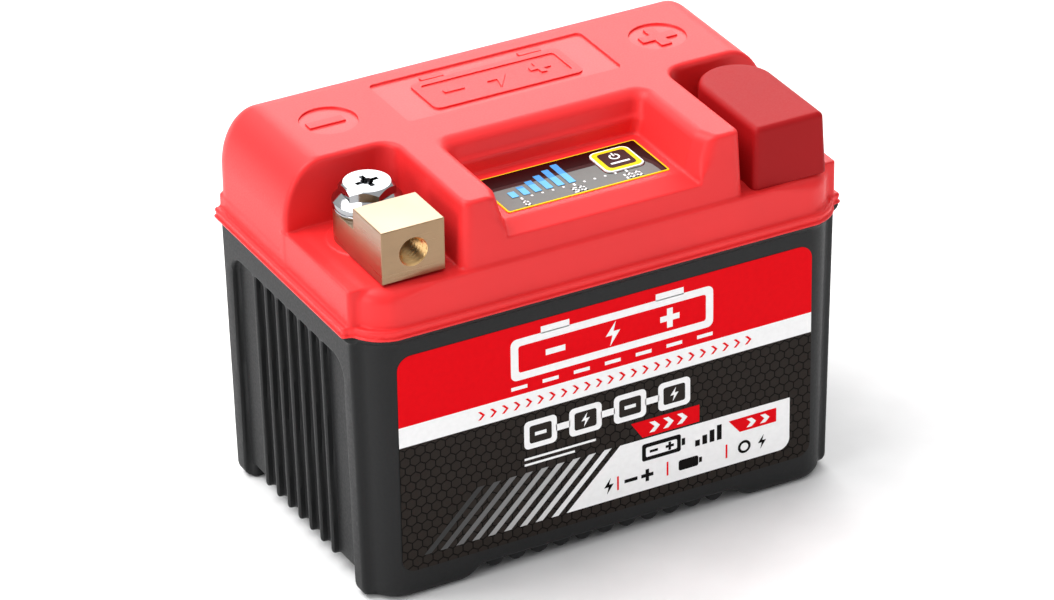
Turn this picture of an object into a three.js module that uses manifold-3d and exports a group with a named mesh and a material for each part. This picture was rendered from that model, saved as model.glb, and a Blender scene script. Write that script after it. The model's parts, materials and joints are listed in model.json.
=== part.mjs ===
// Sealed 12 V lithium motorcycle battery: a dark ribbed case with a domed red cover, two brass
// terminal blocks, a lift-off cap on the positive one, and a charge gauge with a test button.
// Millimetres, +Z up. The origin is the middle of the base, and the gauge side faces -Y.
import * as THREE from 'three';
import { mergeVertices } from 'three/addons/utils/BufferGeometryUtils.js';
import Module from 'manifold-3d';

const wasm = await Module();
wasm.setup();

// ---- driving dimensions -------------------------------------------------------------------
const LENGTH = 113;
const DEPTH = 70;
const HEIGHT = 85;

// case
const CASE_TOP = 60.5;
const CASE_HALF_X = 53.3;
const CASE_HALF_Y = 33.4;
const CASE_CORNER = 7;
const CASE_WALL = 2.2;
const CASE_FLOOR = 5.2;
const CASE_DRAFT = 0.022;
const PANEL_RISE = 1.6;
const PANEL_HALF_Y = 29.2;
const UNDERSIDE_Z = 3;
const FOOT_START = 33.4;
const FOOT_RAMP = 3.4;
const END_CUT_Z = 3.3;
const RIDGE_PITCH = 5.2;
const RIDGE_COUNT = 11;
const RIDGE_RADIUS = 2.1;
const RIB_PITCH = 5;
const RIB_COUNT = 7;
const RIB_WIDTH = 1.4;

// cover
const RIM_TOP = 62.6;
const BAY_FLOOR = 70.5;
const WALL_HALF_X = 53.4;
const WALL_HALF_Y = 33.2;
const DOME_WIDE = 9;
const DOME_TALL = 13;
const COVER_WALL = 2.2;
const BAY_BACK_Y = -1.7;
const BLOCK_HALF_X = 31.2;
const BLOCK_FRONT_Y = -32.8;

// gauge
const GAUGE_FLOOR = 76.8;
const GAUGE_FLOOR_THICK = 1.8;
const GAUGE_Y = -19;
const OVERLAY_X = 36.4;
const OVERLAY_Y = 14.8;
const FILM = 0.3;
const BUTTON_X = 10.8;
const BUTTON_Y = -17.8;
const BUTTON_SIZE = 8.8;
const BUTTON_TRAVEL = 0.4;
const BAR_COUNT = 6;
const BAR_PITCH = 2.55;
const FIRST_BAR_X = -14;

// terminals
const NEGATIVE_X = -41.4;
const POSITIVE_X = 42.5;
const BOLT_Y = -11.3;
const BLOCK_WIDTH = 13.8;
const BLOCK_BACK = -18.6;
const BLOCK_FACE = -30.8;
const BLOCK_TOP = 82.4;
const SEAT_Z = 71;
const SHELF_TOP = 77.8;
const WASHER_THICK = 0.8;
const FLANGE_THICK = 1.9;
const NEGATIVE_HEAD_TOP = 83.2;
const POSITIVE_HEAD_TOP = 82.5;
const HEX_FLATS = 10;

// cell pack
const CELL_RADIUS = 13;
const CELL_LENGTH = 65;
const CELL_OFFSET_Y = 13.8;
const CELL_Z = [19.4, 47];
const HOLDER_TOP = 61.2;
const TAB_THICK = 0.3;

// ---- solids -------------------------------------------------------------------------------
function toSolid(geometry) {
  const bare = geometry.clone();
  bare.deleteAttribute('normal');
  bare.deleteAttribute('uv');
  const merged = mergeVertices(bare, 1e-4);
  return new wasm.Manifold(new wasm.Mesh({
    numProp: 3,
    vertProperties: Float32Array.from(merged.attributes.position.array),
    triVerts: Uint32Array.from(merged.index.array),
  }));
}

function toGeometry(solid) {
  const mesh = solid.getMesh();
  const geometry = new THREE.BufferGeometry();
  geometry.setAttribute('position', new THREE.BufferAttribute(mesh.vertProperties, 3));
  geometry.setIndex(new THREE.BufferAttribute(mesh.triVerts, 1));
  geometry.computeVertexNormals();
  return geometry;
}

function join(base, ...others) {
  return toGeometry(others.reduce((solid, other) => solid.add(toSolid(other)), toSolid(base)));
}

function cut(base, ...tools) {
  return toGeometry(tools.reduce((solid, tool) => solid.subtract(toSolid(tool)), toSolid(base)));
}

function common(base, ...others) {
  return toGeometry(others.reduce((solid, other) => solid.intersect(toSolid(other)), toSolid(base)));
}

function box(x0, x1, y0, y1, z0, z1) {
  const geometry = new THREE.BoxGeometry(x1 - x0, y1 - y0, z1 - z0);
  geometry.translate((x0 + x1) / 2, (y0 + y1) / 2, (z0 + z1) / 2);
  return geometry;
}

function centredBox(x, y, width, depth, z0, z1) {
  return box(x - width / 2, x + width / 2, y - depth / 2, y + depth / 2, z0, z1);
}

// An outline in the XY plane, raised from z0 to z1.
function prism(shape, z0, z1, curveSegments = 3) {
  const geometry = new THREE.ExtrudeGeometry(shape, { depth: z1 - z0, bevelEnabled: false, curveSegments });
  geometry.translate(0, 0, z0);
  return geometry;
}

// An outline drawn in X and Z, run along Y from y0 to y1.
function prismAlongY(shape, y0, y1) {
  const geometry = prism(shape, 0, y1 - y0, 5);
  geometry.rotateX(Math.PI / 2);
  geometry.translate(0, y1, 0);
  return geometry;
}

// An outline drawn in Y and Z, run along X from x0 to x1.
function prismAlongX(shape, x0, x1) {
  const geometry = prism(shape, 0, x1 - x0, 5);
  geometry.rotateX(Math.PI / 2);
  geometry.rotateZ(Math.PI / 2);
  geometry.translate(x0, 0, 0);
  return geometry;
}

function cylinder(radius, x, y, z0, z1, segments = 24) {
  const geometry = new THREE.CylinderGeometry(radius, radius, z1 - z0, segments);
  geometry.rotateX(Math.PI / 2);
  geometry.translate(x, y, (z0 + z1) / 2);
  return geometry;
}

function cylinderAlongX(radius, y, z, x0, x1, segments = 20) {
  const geometry = new THREE.CylinderGeometry(radius, radius, x1 - x0, segments);
  geometry.rotateZ(Math.PI / 2);
  geometry.translate((x0 + x1) / 2, y, z);
  return geometry;
}

// A profile of [radius, z] pairs turned about a vertical axis at x, y.
function turned(profile, x, y, segments = 24) {
  const points = profile.map(([radius, z]) => new THREE.Vector2(radius, z));
  const geometry = new THREE.LatheGeometry(points, segments);
  geometry.rotateX(Math.PI / 2);
  geometry.translate(x, y, 0);
  return geometry;
}

function tube(points, radius, steps) {
  const section = new THREE.Shape().absarc(0, 0, radius, 0, 2 * Math.PI);
  const extrudePath = new THREE.CatmullRomCurve3(points.map((point) => new THREE.Vector3(...point)));
  return new THREE.ExtrudeGeometry(section, { steps, extrudePath, curveSegments: 4, bevelEnabled: false });
}

function polygon(points) {
  return new THREE.Shape(points.map(([a, b]) => new THREE.Vector2(a, b)));
}

function roundedRect(x, y, width, height, radius) {
  const shape = new THREE.Shape();
  const right = x + width / 2 - radius;
  const left = x - width / 2 + radius;
  const top = y + height / 2 - radius;
  const bottom = y - height / 2 + radius;
  shape.absarc(right, top, radius, 0, Math.PI / 2);
  shape.absarc(left, top, radius, Math.PI / 2, Math.PI);
  shape.absarc(left, bottom, radius, Math.PI, Math.PI * 1.5);
  shape.absarc(right, bottom, radius, Math.PI * 1.5, Math.PI * 2);
  return shape;
}

// The battery's plan: a rounded rectangle whose two ends carry a raised panel.
function plan(halfX, halfY, corner, rise) {
  const shape = new THREE.Shape();
  const centreX = halfX - corner;
  const centreY = halfY - corner;
  const start = Math.asin((PANEL_HALF_Y - centreY) / corner);
  const quarter = Math.PI / 2;
  shape.moveTo(halfX + rise, -PANEL_HALF_Y);
  shape.lineTo(halfX + rise, PANEL_HALF_Y);
  shape.absarc(centreX, centreY, corner, start, quarter);
  shape.absarc(-centreX, centreY, corner, quarter, 2 * quarter - start);
  shape.lineTo(-halfX - rise, PANEL_HALF_Y);
  shape.lineTo(-halfX - rise, -PANEL_HALF_Y);
  shape.absarc(-centreX, -centreY, corner, 2 * quarter + start, 3 * quarter);
  shape.absarc(centreX, -centreY, corner, 3 * quarter, 4 * quarter - start);
  return shape;
}

// ---- assembly -----------------------------------------------------------------------------
const battery = new THREE.Group();

function add(name, geometry, color, roughness, metalness = 0) {
  const material = new THREE.MeshStandardMaterial({ color, roughness, metalness });
  const mesh = new THREE.Mesh(geometry, material);
  mesh.name = name;
  battery.add(mesh);
}

const RED = 0xf23c3c;
const DARK_RED = 0xa82424;
const BLACK = 0x2b2d2e;
const BRASS = 0xc9ad7a;
const CHROME = 0xd8dadc;
const NICKEL = 0xb9bcbe;
const GREEN = 0x1f6b3a;
const FOAM = 0x3c3c40;

// ---- case ---------------------------------------------------------------------------------
function sideRecess(side) {
  const inner = side * CASE_HALF_X;
  const outer = side * (CASE_HALF_X + PANEL_RISE + 1);
  const height = 53 - END_CUT_Z + 8;
  const outline = roundedRect(0, 53 - height / 2, 50, height, 4);
  return prismAlongX(outline, Math.min(inner, outer), Math.max(inner, outer));
}

function sideRib(side, index) {
  const y = (index - (RIB_COUNT - 1) / 2) * RIB_PITCH;
  const inner = side * (CASE_HALF_X - 0.5);
  const outer = side * (CASE_HALF_X + PANEL_RISE - 0.1);
  const low = Math.min(inner, outer);
  const high = Math.max(inner, outer);
  return box(low, high, y - RIB_WIDTH / 2, y + RIB_WIDTH / 2, END_CUT_Z, 53.5);
}

function underside() {
  const top = UNDERSIDE_Z;
  const hollow = polygon([
    [-FOOT_START, -1], [FOOT_START, -1], [FOOT_START, 0], [FOOT_START - FOOT_RAMP, top],
    [-FOOT_START + FOOT_RAMP, top], [-FOOT_START, 0],
  ]);
  return prismAlongY(hollow, -DEPTH, DEPTH);
}

function ridge(index) {
  const x = (index - (RIDGE_COUNT - 1) / 2) * RIDGE_PITCH;
  const bar = new THREE.CylinderGeometry(RIDGE_RADIUS, RIDGE_RADIUS, 2 * (CASE_HALF_Y - 1.4), 12);
  bar.translate(x, 0, UNDERSIDE_Z);
  return bar;
}

function makeCase() {
  let body = prism(plan(CASE_HALF_X, CASE_HALF_Y, CASE_CORNER, PANEL_RISE), 0, CASE_TOP);
  body = cut(body, underside());
  for (const side of [-1, 1]) {
    const inner = side * (CASE_HALF_X - 2.5);
    const outer = side * LENGTH / 2;
    const low = Math.min(inner, outer);
    body = cut(body, sideRecess(side), box(low, low + Math.abs(outer - inner), -24, 24, -1, END_CUT_Z));
    const ribs = Array.from({ length: RIB_COUNT }, (_, index) => sideRib(side, index));
    body = join(body, ...ribs);
  }
  body = join(body, ...Array.from({ length: RIDGE_COUNT }, (_, index) => ridge(index)));
  const tongue = prism(roundedRect(0, 0, 104, 64.8, 5.5), CASE_TOP - 1, CASE_TOP + 2);
  const cavityX = 2 * (CASE_HALF_X - CASE_WALL);
  const cavityY = 2 * (CASE_HALF_Y - CASE_WALL);
  const cavity = prism(roundedRect(0, 0, cavityX, cavityY, 5), CASE_FLOOR, HEIGHT);
  body = cut(join(body, tongue), cavity);
  const position = body.attributes.position;
  for (let i = 0; i < position.count; i += 1) {
    const below = Math.max(0, 1 - position.getZ(i) / CASE_TOP);
    position.setX(i, position.getX(i) * (1 - CASE_DRAFT * below));
  }
  return body;
}

add('case', makeCase(), BLACK, 0.55);
const label = prismAlongY(roundedRect(0, 31, 94, 49.2, 3), -CASE_HALF_Y - 0.25, -CASE_HALF_Y);
add('front_label', label, 0xc01018, 0.35);

// ---- cover --------------------------------------------------------------------------------
// Half of the domed section: a wall, an elliptical shoulder and the flat top.
function domeSection(half, inset, floor) {
  const shape = new THREE.Shape();
  const wide = DOME_WIDE - inset * 0.4;
  const tall = DOME_TALL - inset * 0.4;
  const centreZ = HEIGHT - inset - tall;
  const edge = half - inset - wide;
  shape.moveTo(-half + inset, floor);
  shape.lineTo(half - inset, floor);
  shape.absellipse(edge, centreZ, wide, tall, 0, Math.PI / 2);
  shape.absellipse(-edge, centreZ, wide, tall, Math.PI / 2, Math.PI);
  return shape;
}

function dome(inset, floor, front) {
  const half = WALL_HALF_X + PANEL_RISE;
  const acrossEnds = prismAlongY(domeSection(half, inset, floor), front, DEPTH);
  const acrossBack = prismAlongX(domeSection(WALL_HALF_Y, inset, floor), -LENGTH, LENGTH);
  const footprint = prism(plan(WALL_HALF_X - inset, WALL_HALF_Y + 0.5 - inset, 7.5, PANEL_RISE), floor, HEIGHT + 1);
  return common(acrossEnds, box(-LENGTH, LENGTH, front, DEPTH, 0, HEIGHT + 5), acrossBack, footprint);
}

// The gauge's hollow: a flat floor whose front slopes down to the front face.
function gaugeHollow() {
  const sideView = polygon([
    [-9.2, GAUGE_FLOOR], [-8, HEIGHT + 1], [-40, HEIGHT + 1], [-40, 74],
    [BLOCK_FRONT_Y, 75.3], [-28, GAUGE_FLOOR],
  ]);
  const frontView = polygon([
    [-20.4, 70], [20.4, 70], [20.4, GAUGE_FLOOR], [22.4, HEIGHT + 1], [-22.4, HEIGHT + 1], [-20.4, GAUGE_FLOOR],
  ]);
  return common(prismAlongX(sideView, -30, 30), prismAlongY(frontView, -45, 0));
}

function barX(index) {
  return FIRST_BAR_X + index * BAR_PITCH;
}

function signDisc(x, y) {
  return cylinder(5.9, x, y, HEIGHT - 0.4, HEIGHT + 1, 28);
}

const GAUGE_SCREWS = [-17.2, 17.2];
const STANDOFF_Z = 73.2;

function makeCover() {
  let body = join(
    prism(plan(54.9, DEPTH / 2, 8.6, PANEL_RISE), CASE_TOP, RIM_TOP),
    prism(plan(WALL_HALF_X, WALL_HALF_Y + 0.5, 7.5, PANEL_RISE), RIM_TOP - 0.5, BAY_FLOOR),
    dome(0, BAY_FLOOR - 1, BAY_BACK_Y),
    prism(roundedRect(0, BLOCK_FRONT_Y / 2, 2 * BLOCK_HALF_X, -BLOCK_FRONT_Y, 1.5), BAY_FLOOR - 1, HEIGHT),
  );
  const lowCavity = prism(roundedRect(0, 0, 105, 65.6, 6), CASE_TOP - 1, BAY_FLOOR - 2);
  const blockCavity = box(-29, 29, -30.6, 2, BAY_FLOOR - 3, GAUGE_FLOOR - GAUGE_FLOOR_THICK);
  body = cut(body, lowCavity, dome(COVER_WALL, BAY_FLOOR - 3, 0.5), blockCavity, gaugeHollow());
  body = join(
    body,
    cylinder(8.4, NEGATIVE_X, BOLT_Y, BAY_FLOOR - 1, SEAT_Z),
    cylinder(7, POSITIVE_X, BOLT_Y, BAY_FLOOR - 1, SEAT_Z),
    ...[NEGATIVE_X, POSITIVE_X].map((x) => cylinder(7.6, x, BOLT_Y, 65.2, BAY_FLOOR - 1)),
    ...GAUGE_SCREWS.map((x) => cylinder(2.3, x, GAUGE_Y, STANDOFF_Z, GAUGE_FLOOR - 1)),
  );
  const bars = Array.from({ length: BAR_COUNT }, (_, index) => {
    const length = 2.4 + index * 1.2;
    return centredBox(barX(index), -21.7 + length / 2, 1.1, length, 74, HEIGHT);
  });
  body = cut(
    body,
    ...[NEGATIVE_X, POSITIVE_X].map((x) => cylinder(5.3, x, BOLT_Y, 60, 80)),
    ...GAUGE_SCREWS.map((x) => cylinder(1.3, x, GAUGE_Y, 70, 76, 16)),
    ...bars,
    centredBox(BUTTON_X, BUTTON_Y, BUTTON_SIZE + 0.6, BUTTON_SIZE + 0.6, GAUGE_FLOOR - 0.5, 80),
    cylinder(1.9, BUTTON_X, BUTTON_Y, 74, 80, 16),
    centredBox(0, 12.9, 48.4, 18, HEIGHT - 0.4, HEIGHT + 1),
    signDisc(-37.9, 12.4),
    signDisc(37.3, 12.4),
  );
  return join(
    body,
    centredBox(-38.6, 12.3, 8, 2.4, HEIGHT - 1, HEIGHT),
    centredBox(37.3, 12.4, 8, 2.4, HEIGHT - 1, HEIGHT),
    centredBox(37.3, 12.4, 2.4, 8, HEIGHT - 1, HEIGHT),
  );
}

add('cover', makeCover(), RED, 0.42);

// ---- terminals, one at each front corner --------------------------------------------------
function terminalBlock(x) {
  const half = BLOCK_WIDTH / 2;
  const shelf = new THREE.Shape();
  shelf.moveTo(x - half, BLOCK_BACK - 1);
  shelf.lineTo(x + half, BLOCK_BACK - 1);
  shelf.absarc(x, BOLT_Y, half, 0, Math.PI);
  const hole = new THREE.CylinderGeometry(2.6, 2.6, 9, 20);
  hole.translate(x, BLOCK_FACE + 4.4, 76.7);
  return cut(
    join(prism(shelf, SEAT_Z, SHELF_TOP, 10), box(x - half, x + half, BLOCK_FACE, BLOCK_BACK, SEAT_Z, BLOCK_TOP)),
    cylinder(3.25, x, BOLT_Y, 70, 80),
    hole,
  );
}

function terminalInsert(x) {
  return turned([
    [0, 57], [2.5, 57], [2.5, 62], [7, 62], [7, 63.6], [5, 63.6], [5, SEAT_Z], [3.1, SEAT_Z], [3.1, 64.4], [0, 64.4],
  ], x, BOLT_Y);
}

function flangeBolt(x, headTop) {
  const flangeBottom = SHELF_TOP + WASHER_THICK;
  const hexBottom = flangeBottom + FLANGE_THICK;
  const shank = turned([
    [0, 65], [2.4, 65], [2.75, 65.6], [2.75, flangeBottom], [6.9, flangeBottom], [6.9, flangeBottom + 0.8],
    [5.4, hexBottom], [0, hexBottom],
  ], x, BOLT_Y);
  const hexHeight = headTop - flangeBottom - 0.6;
  const hex = new THREE.CylinderGeometry(HEX_FLATS / Math.sqrt(3), HEX_FLATS / Math.sqrt(3), hexHeight, 6);
  hex.rotateX(Math.PI / 2);
  hex.translate(x, BOLT_Y, headTop - hexHeight / 2);
  const chamfer = turned([[0, 70], [6.6, 70], [6.6, headTop - 1.4], [4.9, headTop], [0, headTop]], x, BOLT_Y);
  const slots = [0, 1].map((turn) => (
    centredBox(x, BOLT_Y, turn ? 1.1 : 5, turn ? 5 : 1.1, headTop - 2, headTop + 1)
  ));
  return cut(join(shank, common(hex, chamfer)), ...slots);
}

function hexNut(x) {
  const nut = new THREE.CylinderGeometry(4.6, 4.6, 3.4, 6);
  nut.rotateX(Math.PI / 2);
  nut.translate(x, BOLT_Y, 59.1);
  return cut(nut, cylinder(2.8, x, BOLT_Y, 50, 65));
}

// The ring lug that joins the inner lead to the foot of an insert, with its tongue to the front.
function ringLug(x) {
  const tongue = box(x - 2.5, x + 2.5, BOLT_Y - 10, BOLT_Y, 61, 61.8);
  return cut(join(cylinder(5, x, BOLT_Y, 61, 61.8), tongue), cylinder(2.8, x, BOLT_Y, 50, 65));
}

for (const [side, x, headTop] of [
  ['negative', NEGATIVE_X, NEGATIVE_HEAD_TOP], ['positive', POSITIVE_X, POSITIVE_HEAD_TOP],
]) {
  add(`${side}_terminal`, terminalBlock(x), BRASS, 0.3, 1);
  add(`${side}_insert`, terminalInsert(x), BRASS, 0.4, 1);
  const seal = turned([[5.35, 63.8], [6.8, 63.8], [6.8, 65], [5.35, 65], [5.35, 63.8]], x, BOLT_Y);
  add(`${side}_seal`, seal, 0x1c1c1c, 0.8);
  const washer = turned([
    [3.2, SHELF_TOP], [7, SHELF_TOP], [7, SHELF_TOP + WASHER_THICK], [3.2, SHELF_TOP + WASHER_THICK], [3.2, SHELF_TOP],
  ], x, BOLT_Y);
  add(`${side}_washer`, washer, CHROME, 0.15, 1);
  add(`${side}_bolt`, flangeBolt(x, headTop), CHROME, 0.1, 1);
  add(`${side}_nut`, hexNut(x), NICKEL, 0.35, 1);
  add(`${side}_lug`, ringLug(x), NICKEL, 0.35, 1);
}

// ---- positive terminal's cap, open underneath ---------------------------------------------
const CAP_HALF_X = 8.5;
const CAP_WALL = 1.2;
const CAP_FRONT_Y = -32.3;
const CAP_TOP = 84;

function capOutline(inset) {
  const half = CAP_HALF_X - inset;
  const shape = new THREE.Shape();
  shape.moveTo(POSITIVE_X - half, CAP_FRONT_Y + inset);
  shape.lineTo(POSITIVE_X + half, CAP_FRONT_Y + inset);
  shape.absarc(POSITIVE_X, BOLT_Y, half, 0, Math.PI);
  return shape;
}

const cap = cut(
  prism(capOutline(0), BAY_FLOOR, CAP_TOP, 10),
  prism(capOutline(CAP_WALL), BAY_FLOOR - 1, CAP_TOP - CAP_WALL, 10),
);
add('terminal_cap', cap, DARK_RED, 0.5);

// ---- charge gauge -------------------------------------------------------------------------
const overlay = cut(
  prism(roundedRect(0, GAUGE_Y, OVERLAY_X, OVERLAY_Y, 0.6), GAUGE_FLOOR, GAUGE_FLOOR + FILM),
  centredBox(BUTTON_X, BUTTON_Y, BUTTON_SIZE + 0.6, BUTTON_SIZE + 0.6, 70, 80),
);
add('gauge_overlay', overlay, 0x55555a, 0.25);

const button = join(
  prism(roundedRect(BUTTON_X, BUTTON_Y, BUTTON_SIZE, BUTTON_SIZE, 1.6), GAUGE_FLOOR, GAUGE_FLOOR + 0.7),
  cylinder(1.5, BUTTON_X, BUTTON_Y, 75.5, GAUGE_FLOOR + 0.3, 16),
);
add('test_button', button, 0xf2c81e, 0.35);

const BOARD_THICK = 1.6;
const BOARD_TOP = STANDOFF_Z;
const gaugeBoard = cut(
  centredBox(0, GAUGE_Y, 40, 16, BOARD_TOP - BOARD_THICK, BOARD_TOP),
  ...GAUGE_SCREWS.map((x) => cylinder(1.3, x, GAUGE_Y, 70, 76, 16)),
);
add('gauge_board', gaugeBoard, GREEN, 0.5);
for (let index = 0; index < BAR_COUNT; index += 1) {
  const led = centredBox(barX(index), -20, 1.6, 2.4, BOARD_TOP, BOARD_TOP + 0.8);
  add(`gauge_led_${index + 1}`, led, 0xdfe9f2, 0.3);
}
const switchBody = cut(
  centredBox(BUTTON_X, BUTTON_Y, 5.2, 5.2, BOARD_TOP, 74.8),
  cylinder(1.6, BUTTON_X, BUTTON_Y, 73.8, 76, 16),
);
add('switch_body', switchBody, 0x303236, 0.5);
add('switch_plunger', cylinder(1.3, BUTTON_X, BUTTON_Y, 73.9 + BUTTON_TRAVEL, 75.4, 16), 0xe8e4da, 0.5);
for (const x of GAUGE_SCREWS) {
  const screw = turned([[0, 70.4], [1.9, 70.4], [1.9, 71.6], [1, 71.6], [1, 75.6], [0, 75.8]], x, GAUGE_Y, 12);
  add(`gauge_screw_${x < 0 ? 'left' : 'right'}`, screw, NICKEL, 0.35, 1);
}

// ---- cell pack: four cells lying along X, in series ---------------------------------------
const CELLS = [
  { y: -CELL_OFFSET_Y, z: CELL_Z[0], positive: 1 },
  { y: CELL_OFFSET_Y, z: CELL_Z[0], positive: -1 },
  { y: CELL_OFFSET_Y, z: CELL_Z[1], positive: 1 },
  { y: -CELL_OFFSET_Y, z: CELL_Z[1], positive: -1 },
];

function cell({ y, z, positive }) {
  const half = CELL_LENGTH / 2;
  const groove = half - 3;
  const profile = [
    [0, -half], [CELL_RADIUS - 0.5, -half], [CELL_RADIUS, -half + 0.5], [CELL_RADIUS, groove - 1],
    [CELL_RADIUS - 0.8, groove], [CELL_RADIUS, groove + 1], [CELL_RADIUS - 0.4, half - 0.8],
    [4, half - 0.8], [4, half], [0, half],
  ];
  const geometry = turned(profile, 0, 0, 20);
  geometry.rotateY(positive * Math.PI / 2);
  geometry.translate(0, y, z);
  return geometry;
}

CELLS.forEach((place, index) => add(`cell_${index + 1}`, cell(place), 0x2f6fb0, 0.4));

function holder(side) {
  const inner = side * 26.5;
  const outer = side * 32.6;
  const low = Math.min(inner, outer);
  const high = Math.max(inner, outer);
  const bores = CELLS.map(({ y, z }) => cylinderAlongX(CELL_RADIUS + 0.25, y, z, low - 1, high + 1));
  return cut(box(low, high, -28.2, 28.2, CASE_FLOOR, HOLDER_TOP), ...bores);
}

add('holder_left', holder(-1), 0x222426, 0.6);
add('holder_right', holder(1), 0x222426, 0.6);

// A nickel plate over the ends of the cells that it joins.
function endPlate(side, first, second) {
  const inner = side * 32.9;
  const outer = side * (32.9 + TAB_THICK);
  const y0 = Math.min(first.y, second.y) - 6;
  const y1 = Math.max(first.y, second.y) + 6;
  const z0 = Math.min(first.z, second.z) - 6;
  const z1 = Math.max(first.z, second.z) + 6;
  return box(Math.min(inner, outer), Math.max(inner, outer), y0, y1, z0, z1);
}

add('negative_tab', endPlate(-1, CELLS[0], CELLS[0]), NICKEL, 0.35, 1);
add('link_1_2', endPlate(1, CELLS[0], CELLS[1]), NICKEL, 0.35, 1);
add('link_2_3', endPlate(-1, CELLS[1], CELLS[2]), NICKEL, 0.35, 1);
add('link_3_4', endPlate(1, CELLS[2], CELLS[3]), NICKEL, 0.35, 1);
add('positive_tab', endPlate(-1, CELLS[3], CELLS[3]), NICKEL, 0.35, 1);

// ---- leads, from the tabs to the ring lugs ------------------------------------------------
const LEAD_RADIUS = 1.6;
const negativeRoute = [
  [-35.3, -18, 22], [-35.4, -23, 32], [-35.4, -25, 42], [-35.8, -25.5, 52],
  [-38, -26, 58.5], [NEGATIVE_X, -25, 61.4], [NEGATIVE_X, -21.7, 61.4],
];
const positiveRoute = [
  [-35.3, -15.5, 50], [-35.3, -18.5, 57], [-34.9, -19.5, 62], [-31, -19.5, 64.6], [0, -19.5, 64.6],
  [28, -20.5, 64.4], [38, -25, 62.6], [POSITIVE_X, -25.2, 61.4], [POSITIVE_X, -21.7, 61.4],
];
add('negative_lead', tube(negativeRoute, LEAD_RADIUS, 20), 0x1a1a1a, 0.5);
add('positive_lead', tube(positiveRoute, LEAD_RADIUS, 40), 0xb02020, 0.5);

// ---- balance electronics ------------------------------------------------------------------
add('insulation_sheet', box(-29, 29, -27, 27, HOLDER_TOP, HOLDER_TOP + 0.4), 0xd8cfa8, 0.8);
add('board_pad', box(-26, 26, 4, 26, HOLDER_TOP + 0.4, 63), 0x303234, 0.9);
add('balance_board', box(-27, 27, 3, 27, 63, 64.6), GREEN, 0.5);
for (let index = 0; index < CELLS.length; index += 1) {
  const x = -18 + index * 9;
  add(`bleed_resistor_${index + 1}`, centredBox(x, 22, 6.4, 3.2, 64.6, 65.4), 0x191919, 0.5);
}
add('balance_chip', centredBox(-12, 12, 7.5, 5.3, 64.6, 66.4), 0x151515, 0.5);
const gaugeCableRoute = [[16, 6, 65.9], [16, 0, 66.8], [16, -6, 68.8], [16, -10, 70.2]];
add('gauge_cable', tube(gaugeCableRoute, 1, 12), 0x202020, 0.5);

// ---- foam that holds the pack still -------------------------------------------------------
add('foam_left', box(-49, -38, -28, 28, CASE_FLOOR, 52), FOAM, 0.95);
add('foam_right', box(36, 49, -28, 28, CASE_FLOOR, 52), FOAM, 0.95);
add('foam_top', box(-36, 36, 3, 22, 68, 82), FOAM, 0.95);

export default battery;
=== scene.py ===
"""Looks of the lithium motorcycle battery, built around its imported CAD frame."""

import json
import math

import bmesh
import bpy
import numpy as np
from mathutils import Matrix, Vector


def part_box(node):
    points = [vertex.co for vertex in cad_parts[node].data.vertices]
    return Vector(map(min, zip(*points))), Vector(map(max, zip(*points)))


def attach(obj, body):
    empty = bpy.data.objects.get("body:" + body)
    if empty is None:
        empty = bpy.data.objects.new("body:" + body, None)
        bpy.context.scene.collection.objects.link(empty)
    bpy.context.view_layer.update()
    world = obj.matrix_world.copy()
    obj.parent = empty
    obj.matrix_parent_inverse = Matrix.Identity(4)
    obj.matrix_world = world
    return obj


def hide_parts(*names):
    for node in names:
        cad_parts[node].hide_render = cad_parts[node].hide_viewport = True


MM = 0.001

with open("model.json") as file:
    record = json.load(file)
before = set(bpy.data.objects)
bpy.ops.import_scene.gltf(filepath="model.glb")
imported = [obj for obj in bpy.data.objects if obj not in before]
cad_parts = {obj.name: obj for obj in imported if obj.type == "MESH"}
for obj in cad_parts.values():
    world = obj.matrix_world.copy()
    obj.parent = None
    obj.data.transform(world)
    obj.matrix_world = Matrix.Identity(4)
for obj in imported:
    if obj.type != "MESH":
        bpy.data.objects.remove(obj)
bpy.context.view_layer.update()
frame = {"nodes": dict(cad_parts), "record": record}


def span(node):
    """A CAD node's lowest and highest corners, in millimetres."""
    low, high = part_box(node)
    return np.array(low) / MM, np.array(high) / MM


# ---- driving sizes, in millimetres: first those that the frame gives ----
COVER_LOW, COVER_HIGH = span("cover")
BLOCK_LOW, BLOCK_HIGH = span("negative_terminal")
CAP_LOW, CAP_HIGH = span("terminal_cap")
LABEL_LOW, LABEL_HIGH = span("front_label")
OVERLAY_LOW, OVERLAY_HIGH = span("gauge_overlay")
BUTTON_LOW, BUTTON_HIGH = span("test_button")
WASHER_LOW, WASHER_HIGH = span("negative_washer")

TOP = COVER_HIGH[2]
RIM = COVER_LOW[2]
HALF_DEPTH = COVER_HIGH[1]
BAY_FLOOR = CAP_LOW[2]
SEAT = BLOCK_LOW[2]
GAUGE_FLOOR = OVERLAY_LOW[2]
NEGATIVE_X = (BLOCK_LOW[0] + BLOCK_HIGH[0]) / 2
POSITIVE_X = (CAP_LOW[0] + CAP_HIGH[0]) / 2
BOLT_Y = BLOCK_HIGH[1] - (BLOCK_HIGH[0] - BLOCK_LOW[0]) / 2
CASE_HALF_Y = -LABEL_HIGH[1]

END_PANEL_RISE = 1.6
END_PANEL_HALF_Y = 29.2
END_PANEL_CORNER = 0.9
BAY_BACK_Y = -1.7
CASE_HALF_X = 53.3
SIDE_DRAFT = 0.045


# ---- distance fields: negative inside, positive outside ----
# Each is close to a true distance, so a leaning wall's value is multiplied by its cosine.
def round_join(a, b, radius):
    """Both shapes, with a fillet of that radius in the corner between them."""
    corner = np.hypot(np.maximum(radius - a, 0), np.maximum(radius - b, 0))
    return np.maximum(radius, np.minimum(a, b)) - corner


def round_meet(a, b, radius):
    """What both shapes share, with the edge between them rounded to that radius."""
    corner = np.hypot(np.maximum(radius + a, 0), np.maximum(radius + b, 0))
    return np.minimum(-radius, np.maximum(a, b)) + corner


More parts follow.
